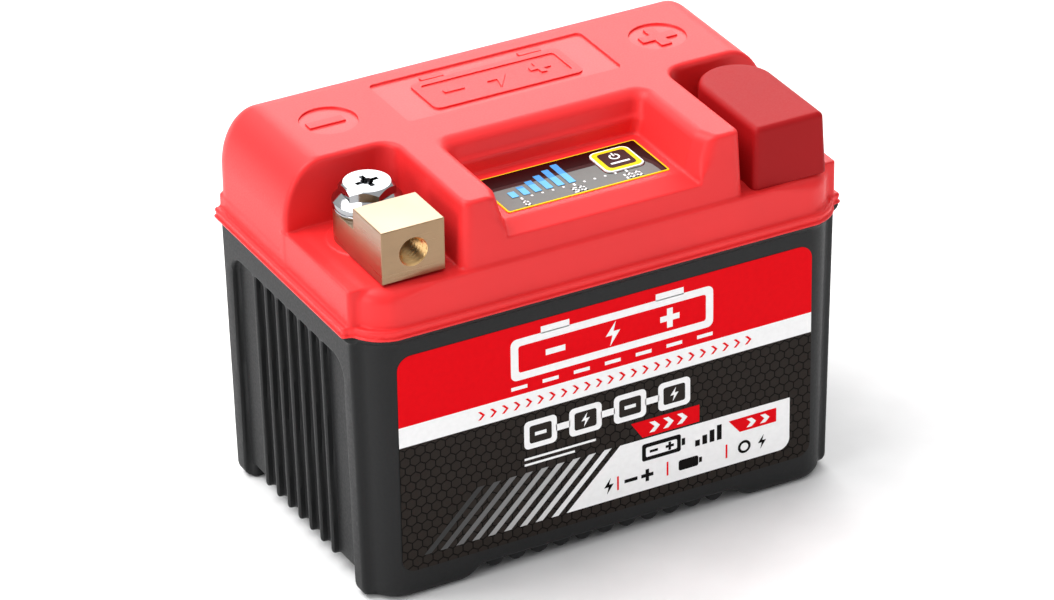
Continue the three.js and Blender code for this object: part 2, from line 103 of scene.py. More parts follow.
def rect(x, y, half_x, half_y, radius):
    """A rounded rectangle about the origin."""
    past_x = np.abs(x) - half_x + radius
    past_y = np.abs(y) - half_y + radius
    outside = np.hypot(np.maximum(past_x, 0), np.maximum(past_y, 0))
    return outside + np.minimum(np.maximum(past_x, past_y), 0) - radius


def plan(x, y, half_x, half_y, corner):
    """The battery's plan: a rounded rectangle with a raised panel on each end."""
    body = rect(x, y, half_x, half_y, corner)
    panels = rect(x, y, half_x + END_PANEL_RISE, END_PANEL_HALF_Y, END_PANEL_CORNER)
    return round_join(body, panels, END_PANEL_CORNER)


def shoulder(depth, z, wide, tall):
    """A wall at depth 0 that turns through an elliptical shoulder into the flat top."""
    u = np.maximum(depth + wide, 0) / wide
    v = np.maximum(z - TOP + tall, 0) / tall
    reach = np.hypot(u, v)
    slope = np.hypot(u / wide, v / tall)
    safe = np.maximum(slope, 1e-6)
    return np.where(slope > 1e-6, (reach - 1) * reach / safe, -wide)


def ramp_up(value, start, end):
    """0 before start, 1 after end, and even between them."""
    return np.clip((value - start) / (end - start), 0, 1)


# ---- turning a field into a mesh ----
EDGES = [
    (start, start + step)
    for step, starts in ((1, (0, 2, 4, 6)), (2, (0, 1, 4, 5)), (4, (0, 1, 2, 3)))
    for start in starts
]


def corner_offset(corner):
    """A cell corner's place in its cell: each bit of its number is one axis."""
    return np.array([corner & 1, corner >> 1 & 1, corner >> 2 & 1])


def graded(*stretches):
    """Grid planes along one axis: each stretch is its start and its spacing, and the last is the end."""
    planes = []
    for (start, step), (end, _) in zip(stretches, stretches[1:]):
        count = max(1, round((end - start) / step))
        planes.extend(np.linspace(start, end, count, endpoint=False))
    planes.append(stretches[-1][0])
    return np.array(planes)


def surface_net(field, *axes):
    """Points and quads of the field's zero surface, one point in each grid cell that it crosses."""
    x, y, z = np.meshgrid(*axes, indexing="ij", sparse=True)
    values = np.broadcast_to(field(x, y, z), [len(a) for a in axes])
    inside = values < 0
    shape = [n - 1 for n in values.shape]
    filled = np.zeros(shape, dtype=np.uint8)
    for corner in range(8):
        i, j, k = corner_offset(corner)
        filled += inside[i:i + shape[0], j:j + shape[1], k:k + shape[2]]
    cells = np.argwhere((filled > 0) & (filled < 8))
    number = np.full(shape, -1, dtype=np.int64)
    number[tuple(cells.T)] = np.arange(len(cells))

    total = np.zeros((len(cells), 3))
    hits = np.zeros(len(cells))
    corners = [values[tuple((cells + corner_offset(c)).T)] for c in range(8)]
    for a, b in EDGES:
        crossed = (corners[a] < 0) != (corners[b] < 0)
        gap = np.where(crossed, corners[a] - corners[b], 1)
        share = np.where(crossed, corners[a] / gap, 0)[:, None]
        point = corner_offset(a) + share * (corner_offset(b) - corner_offset(a))
        total += np.where(crossed[:, None], point, 0)
        hits += crossed
    spots = cells + total / hits[:, None]
    points = np.stack([np.interp(spots[:, i], np.arange(len(a)), a) for i, a in enumerate(axes)], axis=1)
    points = settle(field, points, min(np.diff(a).min() for a in axes))

    quads = []
    for axis in range(3):
        first, second = (axis + 1) % 3, (axis + 2) % 3
        low_side = [slice(1, -1)] * 3
        low_side[axis] = slice(0, -1)
        high_side = list(low_side)
        high_side[axis] = slice(1, None)
        change = inside[tuple(low_side)].astype(np.int8) - inside[tuple(high_side)]
        for sign in (1, -1):
            at = np.argwhere(change == sign)
            at[:, first] += 1
            at[:, second] += 1
            ring = []
            for back_first, back_second in ((1, 1), (0, 1), (0, 0), (1, 0)):
                cell = at.copy()
                cell[:, first] -= back_first
                cell[:, second] -= back_second
                ring.append(number[tuple(cell.T)])
            quads.append(np.stack(ring[::sign], axis=1))
    return points, np.concatenate(quads)


def settle(field, points, step):
    """Moves each point onto the field's zero surface, along the field's slope."""
    start = points.copy()
    small = step * 0.02
    for _ in range(4):
        here = field(*points.T)
        slope = np.stack([
            (field(*(points + shift).T) - field(*(points - shift).T)) / (2 * small)
            for shift in np.eye(3) * small
        ], axis=1)
        steep = np.maximum((slope ** 2).sum(axis=1), 0.25)
        points = points - slope * (here / steep)[:, None]
        points = np.clip(points, start - step, start + step)
    return points


# ---- mesh helpers ----
MOST_TRIANGLES = 190000


def new_object(name, points, faces, material):
    """A smooth-shaded object from points in millimetres."""
    mesh = bpy.data.meshes.new(name)
    mesh.from_pydata((np.asarray(points, dtype=float) * MM).tolist(), [], [list(f) for f in faces])
    mesh.validate()
    mesh.shade_smooth()
    piece = bpy.data.objects.new(name, mesh)
    bpy.context.scene.collection.objects.link(piece)
    mesh.materials.append(material)
    return piece


def sharpen(piece, degrees):
    """Smooth shading, but for edges that turn by more than that angle."""
    piece.data.shade_smooth()
    piece.data.set_sharp_from_angle(angle=math.radians(degrees))


def apply_modifiers(piece):
    """Gives a piece the mesh that its modifiers make, and drops them."""
    depsgraph = bpy.context.evaluated_depsgraph_get()
    mesh = bpy.data.meshes.new_from_object(piece.evaluated_get(depsgraph))
    piece.modifiers.clear()
    piece.data = mesh


def carve(piece, cutters, operation="DIFFERENCE"):
    """Cuts the cutters out of a piece, or joins them to it, and deletes them."""
    for cutter in cutters:
        modifier = piece.modifiers.new("carve", "BOOLEAN")
        modifier.operation = operation
        modifier.solver = "MANIFOLD"
        modifier.material_mode = "TRANSFER"
        modifier.object = cutter
    apply_modifiers(piece)
    for cutter in cutters:
        bpy.data.objects.remove(cutter)


def thin(piece, most):
    """Collapses edges where the surface is flattest, until no more than that many triangles are left."""
    count = sum(len(face.vertices) - 2 for face in piece.data.polygons)
    if count > most:
        modifier = piece.modifiers.new("thin", "DECIMATE")
        modifier.ratio = most / count
        apply_modifiers(piece)


def bevel(piece, width, degrees=30):
    """Rounds the edges that turn by more than that angle."""
    modifier = piece.modifiers.new("bevel", "BEVEL")
    modifier.width = width * MM
    modifier.segments = 2
    modifier.limit_method = "ANGLE"
    modifier.angle_limit = math.radians(degrees)
    apply_modifiers(piece)


def arc(x, y, radius, start, end, steps):
    """Points on an arc, angles in degrees."""
    angles = np.radians(np.linspace(start, end, steps + 1))
    return [(x + radius * math.cos(a), y + radius * math.sin(a)) for a in angles]


def rounded(x, y, width, height, radius, steps=6):
    """The outline of a rounded rectangle about x, y."""
    right, left = x + width / 2 - radius, x - width / 2 + radius
    top, bottom = y + height / 2 - radius, y - height / 2 + radius
    return (
        arc(right, top, radius, 0, 90, steps) + arc(left, top, radius, 90, 180, steps)
        + arc(left, bottom, radius, 180, 270, steps) + arc(right, bottom, radius, 270, 360, steps)
    )


def stacked(name, points, count, material):
    """A closed piece from rings of that many points each, joined by quads and capped at both ends."""
    last = len(points) - count
    faces = [list(range(count))[::-1], list(range(last, len(points)))]
    for low in range(0, last, count):
        high = low + count
        for i in range(count):
            j = (i + 1) % count
            faces.append([low + i, low + j, high + j, high + i])
    piece = new_object(name, points, faces, material)
    recalculate(piece)
    return piece


def slab(name, outline, low, high, material, axis="Z", inset=0.0):
    """A closed prism of an outline. Along Z the outline is in X and Y, and along Y in X and Z.
    inset draws the far end's outline in towards its middle by about that much."""
    flat = np.array(outline)
    middle = (flat.max(axis=0) + flat.min(axis=0)) / 2
    half = (flat.max(axis=0) - flat.min(axis=0)) / 2
    shrunk = middle + (flat - middle) * (1 - inset / half)
    points = []
    for ring, height in ((flat, low), (shrunk, high)):
        for a, b in ring:
            points.append((a, b, height) if axis == "Z" else (a, height, b))
    return stacked(name, points, len(flat), material)


def recalculate(piece):
    """Turns every face of a closed mesh outwards."""
    work = bmesh.new()
    work.from_mesh(piece.data)
    bmesh.ops.recalc_face_normals(work, faces=work.faces)
    work.to_mesh(piece.data)
    work.free()


def lathe(name, profile, x, y, steps, material):
    """A profile of (radius, z) pairs turned about a vertical axis. It starts and ends on the axis,
    or closes on itself."""
    on_axis = profile[0][0] == 0
    rings = profile[1:-1] if on_axis else profile
    angles = np.linspace(0, 2 * math.pi, steps, endpoint=False)
    points = [(x + r * math.cos(a), y + r * math.sin(a), z) for r, z in rings for a in angles]
    faces = []
    last = len(rings) - 1
    for ring in range(last if on_axis else last + 1):
        after = (ring + 1) % len(rings)
        for i in range(steps):
            j = (i + 1) % steps
            faces.append([ring * steps + i, ring * steps + j, after * steps + j, after * steps + i])
    if on_axis:
        for ring, (_, z) in ((0, profile[0]), (last, profile[-1])):
            points.append((x, y, z))
            for i in range(steps):
                faces.append([ring * steps + (i + 1) % steps, ring * steps + i, len(points) - 1])
    piece = new_object(name, points, faces, material)
    recalculate(piece)
    return piece


def merge(name, pieces):
    """One object from several, with each one's materials kept."""
    work = bmesh.new()
    materials = []
    for piece in pieces:
        mesh = piece.data
        slots = []
        for material in mesh.materials:
            if material not in materials:
                materials.append(material)
            slots.append(materials.index(material))
        before = len(work.faces)
        work.from_mesh(mesh)
        work.faces.ensure_lookup_table()
        for face in work.faces[before:]:
            face.material_index = slots[face.material_index]
        bpy.data.objects.remove(piece)
    mesh = bpy.data.meshes.new(name)
    work.to_mesh(mesh)
    work.free()
    for material in materials:
        mesh.materials.append(material)
    merged = bpy.data.objects.new(name, mesh)
    bpy.context.scene.collection.objects.link(merged)
    return merged


# ---- materials ----
NOISE_LOW = 0.3
NOISE_HIGH = 0.7


def fill(tree, node, inputs):
    """Sets each of a node's inputs to a number, or links it to another node's output."""
    for socket, value in inputs.items():
        if isinstance(value, bpy.types.NodeSocket):
            tree.links.new(value, node.inputs[socket])
        else:
            node.inputs[socket].default_value = value


class Recipe:
    """A node material whose Principled shader is ready to be filled."""

    def __init__(self, name):
        self.material = bpy.data.materials.new(name)
        self.material.use_nodes = True
        self.tree = self.material.node_tree
        self.shader = self.tree.nodes["Principled BSDF"]
        self.place = self.add("TexCoord", {}, "Object")

    def add(self, kind, inputs, output):
        """One output of a new node with those inputs."""
        node = self.tree.nodes.new("ShaderNode" + kind)
        fill(self.tree, node, inputs)
        return node.outputs[output]

    def noise(self, scale, detail):
        """Noise whose features are about 1/scale of a metre across, on each axis its own if it has three."""
        inputs = {"Vector": self.place, "Scale": scale, "Detail": detail}
        if isinstance(scale, tuple):
            stretched = self.add("Mapping", {"Vector": self.place, "Scale": scale}, "Vector")
            inputs.update({"Vector": stretched, "Scale": 1.0})
        return self.add("TexNoise", inputs, "Fac")

    def spread(self, noise, low, high):
        """A noise value spread between two numbers."""
        limits = {"From Min": NOISE_LOW, "From Max": NOISE_HIGH, "To Min": low, "To Max": high}
        return self.add("MapRange", {"Value": noise, **limits}, "Result")

    def tint(self, noise, colour, darker, lighter):
        """A noise value as a colour, from a darker to a lighter shade of one."""
        output = self.add("ValToRGB", {"Fac": noise}, "Color")
        ends = output.node.color_ramp.elements
        for end, position, factor in ((ends[0], NOISE_LOW, darker), (ends[1], NOISE_HIGH, lighter)):
            end.position = position
            end.color = (*(min(1.0, part * factor) for part in colour), 1)
        return output

    def finish(self, height_mm, relief, inputs):
        """Fills the shader's inputs, and raises the surface by up to that height where relief is high."""
        normal = self.add("Bump", {"Height": relief, "Distance": height_mm * MM}, "Normal")
        fill(self.tree, self.shader, {"Normal": normal, **inputs})
        return self.material


def moulded(name, colour, roughness, grain=2600.0, height=0.012, coat=0.0, specular=0.5):
    """Injection-moulded plastic: a fine spark-eroded grain and slow shifts of colour and gloss."""
    recipe = Recipe(name)
    fine = recipe.noise(grain, 2.0)
    return recipe.finish(height, fine, {
        "Base Color": recipe.tint(recipe.noise(38.0, 4.0), colour, 0.95, 1.04),
        "Roughness": recipe.spread(fine, roughness - 0.05, roughness + 0.06),
        "Specular IOR Level": specular, "Coat Weight": coat, "Coat Roughness": 0.25,
    })


def printed(name, colour, roughness=0.4, coat=0.0):
    """Ink under a clear laminate: a faint orange-peel ripple and dot-gain mottling."""
    recipe = Recipe(name)
    ripple = recipe.noise(420.0, 2.0)
    return recipe.finish(0.006, ripple, {
        "Base Color": recipe.tint(recipe.noise(900.0, 3.0), colour, 0.97, 1.02),
        "Roughness": recipe.spread(ripple, roughness - 0.03, roughness + 0.05),
        "Specular IOR Level": 0.04, "Coat Weight": coat, "Coat Roughness": 0.12,
    })


def machined(name, colour, roughness, along=(60.0, 60.0, 2400.0), depth=0.003, coat=0.0):
    """Metal with tool marks: along is how fine their noise is on each axis."""
    recipe = Recipe(name)
    lines = recipe.noise(along, 4.0)
    return recipe.finish(depth, lines, {
        "Base Color": recipe.tint(recipe.noise(120.0, 3.0), colour, 0.93, 1.05),
        "Roughness": recipe.spread(lines, roughness - 0.06, roughness + 0.08),
        "Metallic": 1.0, "Coat Weight": coat, "Coat Roughness": 0.22,
    })


def rubbery(name, colour, roughness=0.75):
    """Soft rubber or foam: dull, with an open fine texture."""
    recipe = Recipe(name)
    pores = recipe.noise(1500.0, 4.0)
    return recipe.finish(0.05, pores, {
        "Base Color": recipe.tint(pores, colour, 0.75, 1.2),
        "Roughness": recipe.spread(pores, roughness - 0.08, roughness + 0.1),
    })


RED = (0.83, 0.028, 0.03)
M_COVER = moulded("cover_red", RED, 0.42, specular=0.25)
M_COVER_SMOOTH = moulded("cover_red_smooth", RED, 0.38, height=0.003, specular=0.33)
M_CAP = moulded("cap_red", (0.36, 0.008, 0.010), 0.5, specular=0.1)
M_CASE = moulded("case_black", (0.0106, 0.0109, 0.0113), 0.5, grain=1900.0, height=0.02, specular=0.22)
M_BRASS = machined("brass", (0.28, 0.175, 0.088), 0.32, coat=0.8)
# A much lighter copy of the block's brass for the tapped hole: a painted highlight that makes the thread's
# rings show bright.
M_BRASS_THREAD_LIGHTENED = machined("brass_thread_painted_highlight", (0.78, 0.50, 0.22), 0.3, along=(200.0, 200.0, 200.0), depth=0.001)
M_CHROME = machined("bolt_chrome", (0.34, 0.345, 0.355), 0.09, along=(90.0, 90.0, 90.0), depth=0.0008)
INK_RED = printed("ink_red", (0.78, 0.001, 0.006))
INK_WHITE = printed("ink_white", (0.95, 0.95, 0.95))
INK_DARK = printed("ink_dark", (0.026, 0.021, 0.018))
INK_LINE = printed("ink_line", (0.006, 0.005, 0.0045))
INK_YELLOW = printed("ink_yellow", (0.88, 0.60, 0.01))
INK_GREY = printed("ink_grey", (0.19, 0.188, 0.18))
INK_UMBER = printed("ink_umber", (0.05, 0.016, 0.016))
# Dark ground tinted red: the red is a painted reflection of the gauge recess's red walls.
INK_DARK_GROUND_RED_REFLECTION = printed("ink_dark_ground_red_reflection", (0.024, 0.0015, 0.002))
INK_SKY = printed("ink_sky", (0.16, 0.48, 0.82))
INK_BLUE = printed("ink_blue", (0.08, 0.31, 0.70))
HATCH_LEVELS = (0.05, 0.09, 0.15, 0.24, 0.34, 0.46, 0.58, 0.7, 0.84)
HATCH_INKS = [printed(f"ink_hatch_{index}", (level,) * 3) for index, level in enumerate(HATCH_LEVELS)]
FINISHES = {
    "case_black": M_CASE, "cover_red": M_COVER, "cap_red": M_CAP, "label_print": INK_RED,
    "brass": M_BRASS, "bolt_chrome": M_CHROME, "gauge_film": INK_GREY, "button_yellow": INK_YELLOW,
    "nickel": machined("nickel", (0.62, 0.61, 0.58), 0.34),
    "seal_rubber": rubbery("seal_rubber", (0.02, 0.02, 0.02)),
    "foam_grey": rubbery("foam_grey", (0.05, 0.05, 0.055), 0.9),
    "insulation_tan": rubbery("insulation_tan", (0.55, 0.46, 0.3), 0.8),
    "board_green": printed("board_green", (0.015, 0.12, 0.04), 0.35, 0.4),
    "led_clear": moulded("led_clear", (0.72, 0.8, 0.9), 0.2, coat=0.5),
    "component_black": moulded("component_black", (0.02, 0.02, 0.022), 0.5),
    "holder_black": moulded("holder_black", (0.03, 0.03, 0.033), 0.55),
    "cell_wrap": printed("cell_wrap", (0.03, 0.14, 0.42), 0.3, 0.3),
    "lead_black": moulded("lead_black", (0.015, 0.015, 0.015), 0.5),
    "lead_red": moulded("lead_red", (0.5, 0.02, 0.02), 0.5),
}


# ---- cover ----
COVER_SKIN = 1.8
WALL_HALF_X = 53.4
WALL_HALF_Y = 33.7
WALL_CORNER = 7.5
END_PANEL_X = 55.0
WALL_TOP_BEHIND = 65.6
RIM_HALF_X = 54.9
RIM_CORNER = 8.6
RIM_BEAD_TOP = 62.7
RIM_LIP_TOP = 61.0
DOME_MIDDLE_Y = -27
DOME_HALF_Y = 60.2
DOME_CORNER = 8.0
SHOULDER_WIDE = 9.0
SHOULDER_TALL = 13.0
GAUGE_BLOCK_HALF_X = 31.6
GAUGE_BLOCK_FRONT_Y = -32.8
FRONT_DRAFT = 0.03
BOSS_RADIUS = 8.4
POST_SLEEVE_RADIUS = 7.6
POST_SLEEVE_FOOT = 65.2
POST_RADIUS = 5.3
POST_FOOT = 60
GAUGE_HALF_X = 20.3
GAUGE_BACK_Y = -8.9
GAUGE_MOUTH_Y = -28.0
LEDGE_Z = 80.4
LEDGE_DEPTH = 0.45
LAMP_SLOT_WIDTH = 1.1
SLOT_FOOT = 74
BAR_COUNT = 6
BAR_PITCH = 2.55
FIRST_BAR_X = -14.0
BAR_FOOT_Y = -21.7
FIRST_BAR_LENGTH = 2.4
BAR_GROWTH = 1.2
BUTTON_X = (BUTTON_LOW[0] + BUTTON_HIGH[0]) / 2
BUTTON_Y = (BUTTON_LOW[1] + BUTTON_HIGH[1]) / 2
PANEL_Y = 12.9
PANEL_DEPTH = 0.4
MARK_HEIGHT = 0.35
EMBLEM_Y = PANEL_Y - 0.6
SIGN_Y = 12.4
SIGN_DISC_RADIUS = 5.9
MINUS_X = -37.9
PLUS_X = 37.3


def gauge_hollow(x, y, z):
    """The gauge's recess: leaning walls, a ledge along the back one, and a mouth sloping to the front."""
    rise = np.maximum(z - GAUGE_FLOOR, 0)
    flare = np.maximum(GAUGE_MOUTH_Y - y, 0)
    sides = (np.abs(x) - GAUGE_HALF_X - 0.3 * rise - 0.35 * flare) * 0.95
    ledge = LEDGE_DEPTH * ramp_up(z, LEDGE_Z - 0.4, LEDGE_Z + 0.6)
    lean = 0.38 * np.maximum(z - LEDGE_Z, 0)
    back = (y - GAUGE_BACK_Y - ledge - lean) * 0.93
    walls = round_meet(sides, back, 2.2)
    floor = GAUGE_FLOOR - z - 0.33 * flare
    return round_meet(walls, floor, 0.6)


def skirt(x, y, z):
    """The straight wall under the bays and the dome. Its top edge is softest at the front corners."""
    top = np.where(y < BAY_BACK_Y + 2, BAY_FLOOR, WALL_TOP_BEHIND)
    soft = 0.6 + 2.4 * ramp_up(np.abs(x), 38, 46)
    walls = round_meet(rect(x, y, WALL_HALF_X, WALL_HALF_Y, WALL_CORNER), z - top, soft)
    panels = round_meet(rect(x, y, END_PANEL_X, END_PANEL_HALF_Y, 0.8), z - top, 0.45)
    return round_join(walls, panels, 0.8)


def rim(x, y, z):
    """The flared foot of the wall: a bead that leans in, over a thin lip."""
    foot = plan(x, y, RIM_HALF_X, HALF_DEPTH, RIM_CORNER)
    bead = round_meet(foot + 0.15 + 0.3 * ramp_up(-z, -62.2, -61.2), z - RIM_BEAD_TOP, 0.6)
    lip = round_meet(foot, z - RIM_LIP_TOP, 0.2)
    return np.minimum(bead, lip)


def upper_half(x, y, z):
    """The dome, cut back at the front by a bay on each side of the gauge block."""
    outline = rect(x, y - DOME_MIDDLE_Y, END_PANEL_X, DOME_HALF_Y, DOME_CORNER)
    dome = shoulder(outline, z, SHOULDER_WIDE, SHOULDER_TALL)
    half_block = GAUGE_BLOCK_HALF_X - SIDE_DRAFT * (z - BAY_FLOOR)
    behind_bays = BAY_BACK_Y - y + FRONT_DRAFT * (z - BAY_FLOOR)
    block_front = GAUGE_BLOCK_FRONT_Y - y + FRONT_DRAFT * (z - BAY_FLOOR)
    block = round_meet(np.abs(x) - half_block, block_front, 2.0)
    return round_meet(dome, round_join(behind_bays, block, 4.0), 1.0)


def cover_skin(x, y, z):
    """The cover's outer shape, with nothing cut from its underside."""
    lower = round_join(skirt(x, y, z), rim(x, y, z), 0.5)
    body = round_join(lower, upper_half(x, y, z), 0.5)
    boss = round_meet(np.hypot(x - NEGATIVE_X, y - BOLT_Y) - BOSS_RADIUS, z - SEAT, 0.25)
    body = np.minimum(body, boss)
    edge = 0.4 + 1.5 * ramp_up(z, 76.5, 80)
    return round_meet(body, -gauge_hollow(x, y, z), edge)


def cover_shape(x, y, z):
    """The whole moulding: an even skin, with a solid sleeve round each terminal post."""
    skin = cover_skin(x, y, z)
    shell = np.maximum(skin, -(skin + COVER_SKIN))
    under = np.maximum(skin, POST_SLEEVE_FOOT - z)
    for post_x in (NEGATIVE_X, POSITIVE_X):
        sleeve = np.hypot(x - post_x, y - BOLT_Y) - POST_SLEEVE_RADIUS
        shell = np.minimum(shell, np.maximum(under, sleeve))
    return np.maximum(shell, RIM - z)


def disc(x, y, radius, steps=48):
    """The outline of a disc."""
    return arc(x, y, radius, 0, 360 - 360 / steps, steps - 1)


def shift(outline, x, y, scale=1.0, turn=0.0):
    """An outline scaled, turned by degrees and moved."""
    c, s = math.cos(math.radians(turn)), math.sin(math.radians(turn))
    return [(x + scale * (a * c - b * s), y + scale * (a * s + b * c)) for a, b in outline]


def bar(x, y, width, height):
    """The corners of a plain rectangle about x, y."""
    return [
        (x - width / 2, y - height / 2), (x + width / 2, y - height / 2),
        (x + width / 2, y + height / 2), (x - width / 2, y + height / 2),
    ]


def plus_sign(x, y, size, thick):
    """The outline of a plus sign."""
    a, b = size / 2, thick / 2
    quarter = [(b, b), (b, a), (-b, a)]
    return [point for turn in (0, 90, 180, 270) for point in shift(quarter, x, y, 1, turn)]


def spark(x, y, size):
    """The outline of a lightning flash, about one unit tall before it is scaled."""
    flash = [(0.12, 0.5), (-0.3, -0.06), (-0.02, -0.06), (-0.12, -0.5), (0.3, 0.1), (0.02, 0.1)]
    return shift(flash[::-1], x, y, size)


def sunk(outline):
    """A cutter that sinks an outline into the top, with slightly leaning sides."""
    lean = 0.12 * (1 + PANEL_DEPTH) / PANEL_DEPTH
    return slab("sunk", outline, TOP - PANEL_DEPTH, TOP + 1, M_COVER_SMOOTH, inset=-lean)


def proud(outline):
    """A raised mark on the floor of a sunk panel."""
    floor = TOP - PANEL_DEPTH
    return slab("proud", outline, floor - 0.05, floor + MARK_HEIGHT, M_COVER, inset=0.08)


def engrave_top(shell):
    """The sunk panel with its battery emblem, and the two polarity discs."""
    carve(shell, [
        sunk(rounded(0, PANEL_Y, 48.4, 18, 1.2)),
        sunk(disc(MINUS_X, SIGN_Y, SIGN_DISC_RADIUS)), sunk(disc(PLUS_X, SIGN_Y, SIGN_DISC_RADIUS)),
    ])
    marks = [
        bar(MINUS_X - 0.7, SIGN_Y - 0.1, 8, 2.4), plus_sign(PLUS_X, SIGN_Y, 8, 2.4),
        rounded(-11.2, PANEL_Y + 6.6, 5.2, 1.6, 0.3), rounded(11.2, PANEL_Y + 6.6, 5.2, 1.6, 0.3),
    ]
    carve(shell, [proud(outline) for outline in marks], "UNION")
    emblem = proud(rounded(0, EMBLEM_Y, 34, 12.4, 1.6))
    window = slab("window", rounded(0, EMBLEM_Y, 30.4, 8.8, 0.8), TOP - 0.3, TOP + 1, M_COVER)
    carve(emblem, [window])
    inner = [spark(0, EMBLEM_Y, 8.2), bar(-9.8, EMBLEM_Y, 4.6, 1.3), plus_sign(9.8, EMBLEM_Y, 4.6, 1.3)]
    carve(shell, [emblem] + [proud(outline) for outline in inner], "UNION")


def gauge_bar(index, width, most=math.inf):
    """The outline of one of the gauge's bars, which grow from left to right."""
    length = min(FIRST_BAR_LENGTH + index * BAR_GROWTH, most)
    return bar(FIRST_BAR_X + index * BAR_PITCH, BAR_FOOT_Y + length / 2, width, length)


def cut_openings(shell):
    """Holes for the posts and the gauge's lamps, and the pocket under the test button."""
    cuts = [(gauge_bar(index, LAMP_SLOT_WIDTH), SLOT_FOOT, GAUGE_FLOOR + 0.2) for index in range(BAR_COUNT)]
    cuts.append((rounded(BUTTON_X, BUTTON_Y, 9.4, 9.4, 0.6), GAUGE_FLOOR - 0.5, GAUGE_FLOOR + 0.2))
    cuts.append((disc(BUTTON_X, BUTTON_Y, 1.9, 24), SLOT_FOOT, GAUGE_FLOOR))
    for x in (NEGATIVE_X, POSITIVE_X):
        cuts.append((disc(x, BOLT_Y, POST_RADIUS), POST_FOOT, SEAT + 0.5))
    carve(shell, [slab("cut", *cut, M_COVER) for cut in cuts])


def make_cover():
    """The cover. Its grid is finer at the ends and along the rim, where the edges are small."""
    grid = 0.45
    x = graded((-57.2, 0.3), (-52, grid), (52, 0.3), (57.2, 0))
    y = graded((-36, 0.35), (-27, grid), (32, 0.35), (36, 0))
    z = graded((60.2, 0.24), (63.2, 0.4), (85.8, 0))
    shell = new_object("cover_shell", *surface_net(cover_shape, x, y, z), M_COVER)
    cut_openings(shell)
    engrave_top(shell)
    thin(shell, MOST_TRIANGLES)
    sharpen(shell, 32)
    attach(shell, "housing")
    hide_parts("cover")


make_cover()


# ---- case ----
RIB_PITCH = 5.0
RIB_COUNT = 7
RIDGE_PITCH = 5.2
RIDGE_COUNT = 11
UNDERSIDE = 3.0
END_CUT = 3.3
WINDOW_TOP = 53.0
WINDOW_HALF_Y = 25.0
RIB_HALF_WIDTH = 0.7
RIDGE_RADIUS = 2.1
CASE_DRAFT = 0.022
CASE_CORNER = 7.0
CASE_WALL = 2.2
CASE_FLOOR = 5.2
LIP_FOOT = 58.8
LIP_HALF_X = 54.5
LIP_HALF_Y = 34.6
LIP_CORNER = 8.4
FOOT_INNER_X = 33.4


def repeat(value, pitch, count):
    """Distance along one axis to the nearest of some evenly spaced centres."""
    last = (count - 1) / 2
    return value - pitch * np.clip(np.round(value / pitch), -last, last)


def ribbed_ends(body, x, y, z):
    """Sinks a window into each end of the case and stands the ribs in it."""
    side = CASE_HALF_X + 0.02 - np.abs(x)
    height = WINDOW_TOP + 20
    window = rect(y, z - WINDOW_TOP + height / 2, WINDOW_HALF_Y, height / 2, 4.0)
    body = round_meet(body, -round_meet(side, window, 0.7), 0.6)
    rib = np.maximum(np.abs(repeat(y, RIB_PITCH, RIB_COUNT)) - RIB_HALF_WIDTH, z - WINDOW_TOP - 0.5)
    rib = np.maximum(rib, CASE_HALF_X - 1 - np.abs(x))
    rib = round_meet(rib, np.abs(x) - CASE_HALF_X - END_PANEL_RISE + 0.15, 0.5)
    return round_join(body, rib, 0.4)


def stepped_foot(body, x, y, z):
    """Cuts the underside up between the two end feet and runs its ridges from front to back."""
    end_cut = round_meet(np.maximum(np.abs(y) - 24, 50.8 - np.abs(x)), z - END_CUT, 0.8)
    body = round_meet(body, -end_cut, 0.8)
    ramp = (np.abs(x) - FOOT_INNER_X + z * 1.13) * 0.66
    under = round_meet(ramp, z - UNDERSIDE, 0.8)
    body = round_meet(body, -under, 0.9)
    ridge = np.hypot(repeat(x, RIDGE_PITCH, RIDGE_COUNT), z - UNDERSIDE) - RIDGE_RADIUS
    ridge = round_meet(ridge, np.abs(y) - CASE_HALF_Y + 1.2, 0.7)
    return round_join(body, ridge, 0.3)


def case_shape(x, y, z):
    """The case: drafted walls, a lip under the cover's rim, ribbed ends, feet and an empty inside."""
    x = x / (1 - CASE_DRAFT * np.maximum(1 - z / RIM, 0))
    wall = plan(x, y, CASE_HALF_X, CASE_HALF_Y, CASE_CORNER)
    body = round_meet(wall, -z, 2.4)
    under_lip = (LIP_FOOT + np.maximum(wall, 0) - z) * 0.7
    lip = round_meet(plan(x, y, LIP_HALF_X, LIP_HALF_Y, LIP_CORNER), under_lip, 0.3)
    body = stepped_foot(ribbed_ends(np.minimum(body, lip), x, y, z), x, y, z)
    cavity = np.maximum(rect(x, y, CASE_HALF_X - CASE_WALL, CASE_HALF_Y - CASE_WALL, 5.0), CASE_FLOOR - z)
    return np.maximum(np.maximum(body, z - RIM), -cavity)


def make_case():
    """The case. Its grid is finer near the top, where the lip is."""
    grid = 0.5
    x = graded((-57.2, grid), (57.2, 0))
    y = graded((-36, grid), (36, 0))
    z = graded((-1, grid), (58, 0.35), (61.4, 0))
    case = new_object("case_shell", *surface_net(case_shape, x, y, z), M_CASE)
    thin(case, MOST_TRIANGLES)
    sharpen(case, 38)
    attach(case, "housing")
    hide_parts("case")


make_case()


# ---- terminal cap ----
CAP_WALL = 1.1


def cap_outer(x, y, z):
    """The cap's outer shape: drafted sides, a round end round the bolt, and a flat top."""
    lean = (z - BAY_FLOOR) * SIDE_DRAFT
    half = (CAP_HIGH[0] - CAP_LOW[0]) / 2
    across = np.abs(x - POSITIVE_X) - half + lean
    front = CAP_LOW[1] - y + lean * 0.5
    rear = np.hypot(x - POSITIVE_X, np.maximum(y - BOLT_Y, 0)) - half + lean
    sides = round_meet(np.maximum(across, rear), front, 1.1)
    return round_meet(sides, z - CAP_HIGH[2], 1.2)


def cap_shape(x, y, z):
    """A thin moulded cap, open underneath."""
    outer = cap_outer(x, y, z)
    return np.maximum(np.maximum(outer, -(outer + CAP_WALL)), BAY_FLOOR - z)


